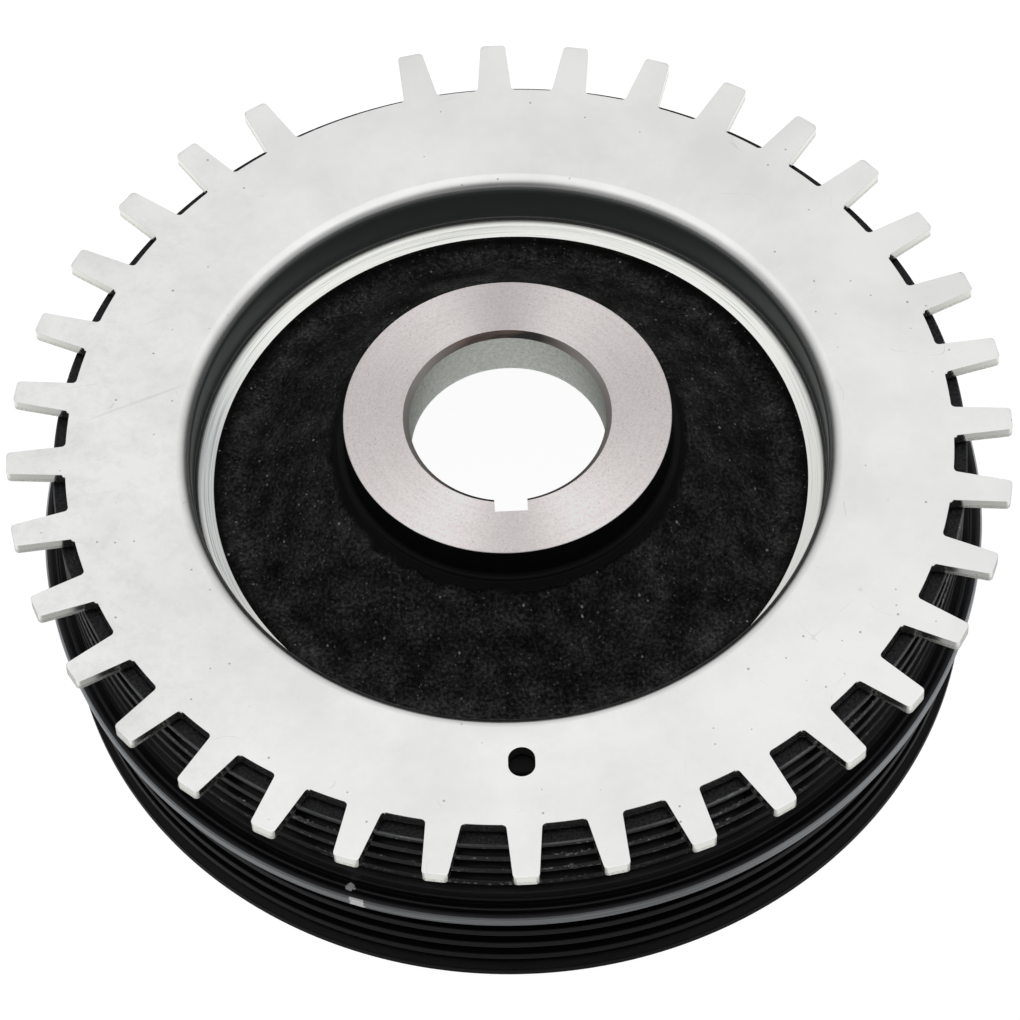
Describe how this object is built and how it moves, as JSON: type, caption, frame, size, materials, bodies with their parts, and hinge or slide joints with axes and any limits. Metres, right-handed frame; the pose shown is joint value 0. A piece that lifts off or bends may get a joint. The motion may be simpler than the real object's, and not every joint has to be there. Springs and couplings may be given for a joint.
{
  "type": "harmonic balancer",
  "caption": "Round crankshaft damper: a keyed hub, a band of rubber and a heavy outer ring with ribbed belt tracks, with a toothed sensor wheel on the engine side.",
  "frame": {"origin": "where the crank axis meets the plane on which the outer ring's front face stands", "axes": "+Z along the crank axis towards the engine, -Y towards the keyway and the timing hole"},
  "size_m": [0.154, 0.154, 0.0476],
  "materials": {
    "black_iron": "black paint over sand-cast iron, with the boss face and the bore machined bare",
    "rubber": "matt black rubber",
    "painted_ring": "gloss black paint over turned iron, with the flange's rim bare metal",
    "zinc_steel": "clear zinc plate on pressed steel sheet"
  },
  "bodies": {
    "root": {"hub": "black_iron", "rubber_ring": "rubber", "outer_ring": "painted_ring", "trigger_wheel": "zinc_steel"}
  },
  "joints": []
}
